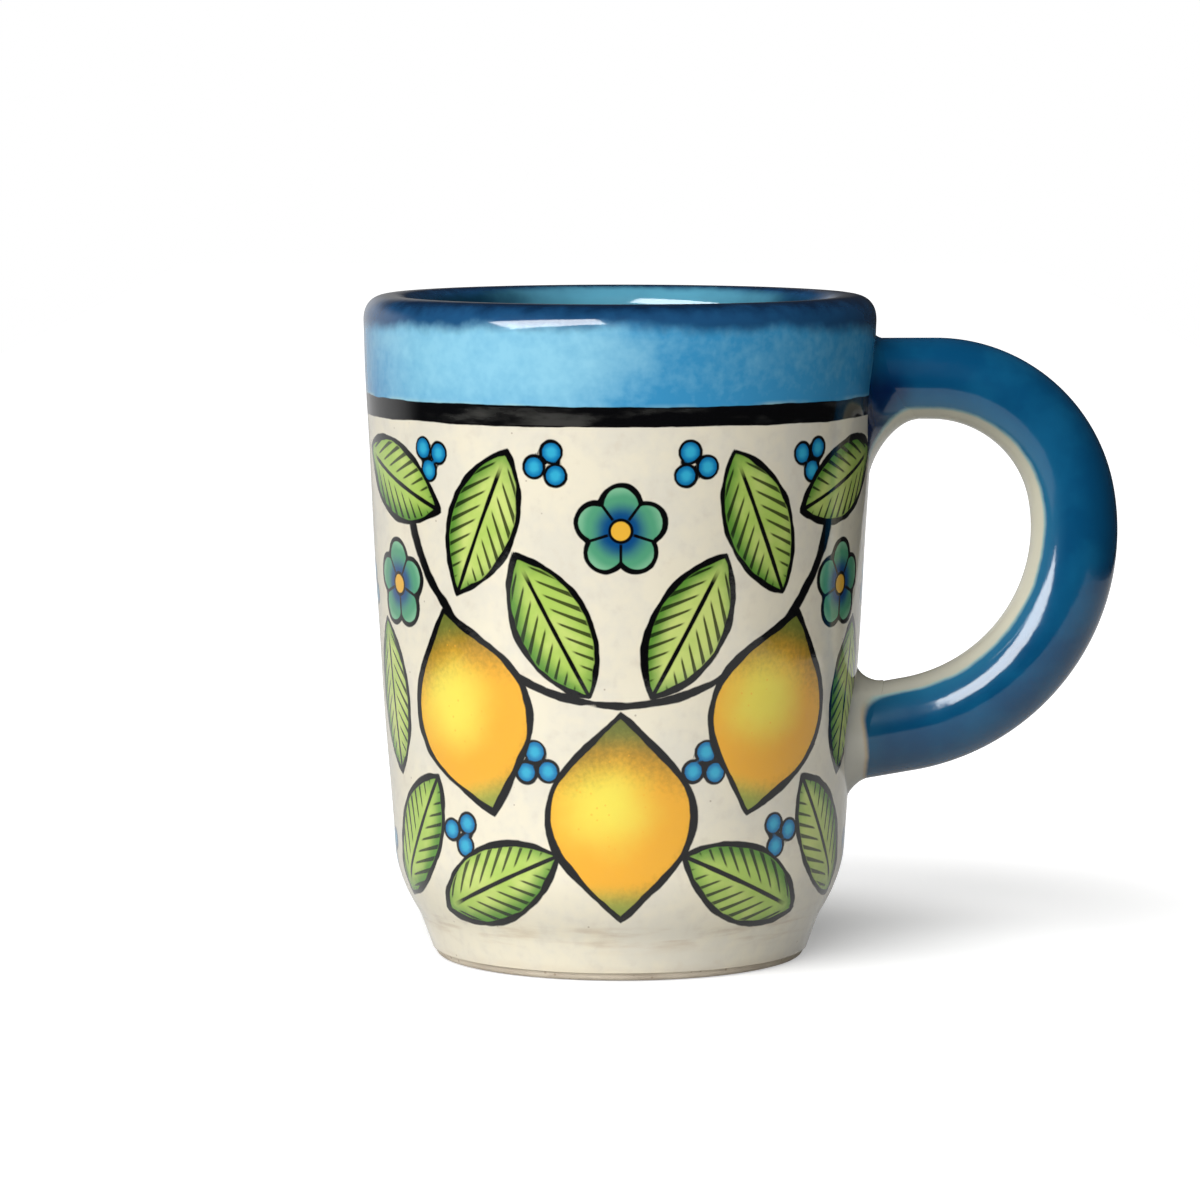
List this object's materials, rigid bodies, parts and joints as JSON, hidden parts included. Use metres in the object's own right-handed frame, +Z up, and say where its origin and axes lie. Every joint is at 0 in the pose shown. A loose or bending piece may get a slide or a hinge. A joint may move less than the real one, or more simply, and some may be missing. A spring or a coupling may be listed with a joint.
{
  "type": "clay mug",
  "caption": "Straight-sided glazed clay mug with a rolled lip, a round ear handle stuck on with slip, a blue rim over a dark stripe, and a painted lemon garland.",
  "frame": {"origin": "middle of the flat foot, on the surface that the mug stands on", "axes": "+Z up along the cup's axis, +X from the axis out through the middle of the handle"},
  "size_m": [0.123, 0.0834, 0.108],
  "materials": {
    "bare_clay": "unglazed fired clay, matte and slightly gritty",
    "cream_clay": "clear gloss glaze over cream clay",
    "handle_blue": "deep petrol-blue gloss glaze, darker where it pools",
    "rim_blue": "brushed sky-blue gloss glaze, dark cobalt on the lip",
    "brush_black": "black brush line under gloss glaze",
    "wall_cream": "clear gloss glaze over a faintly speckled cream ground",
    "inside_cream": "clear gloss glaze over cream clay",
    "lemon_yellow": "golden-yellow paint under gloss glaze",
    "leaf_green": "lime-green paint under gloss glaze",
    "blossom_teal": "teal and blue paint under gloss glaze"
  },
  "bodies": {
    "root": {"cup_body": "bare_clay", "handle": "cream_clay", "upper_slip_joint": "handle_blue", "lower_slip_joint": "cream_clay", "rim_glaze": "rim_blue", "black_stripe": "brush_black", "wall_glaze": "wall_cream", "inside_glaze": "inside_cream", "handle_glaze": "handle_blue", "painted_lemons": "lemon_yellow", "painted_leaves": "leaf_green", "painted_blossoms": "blossom_teal", "painted_garland": "brush_black"}
  },
  "joints": []
}
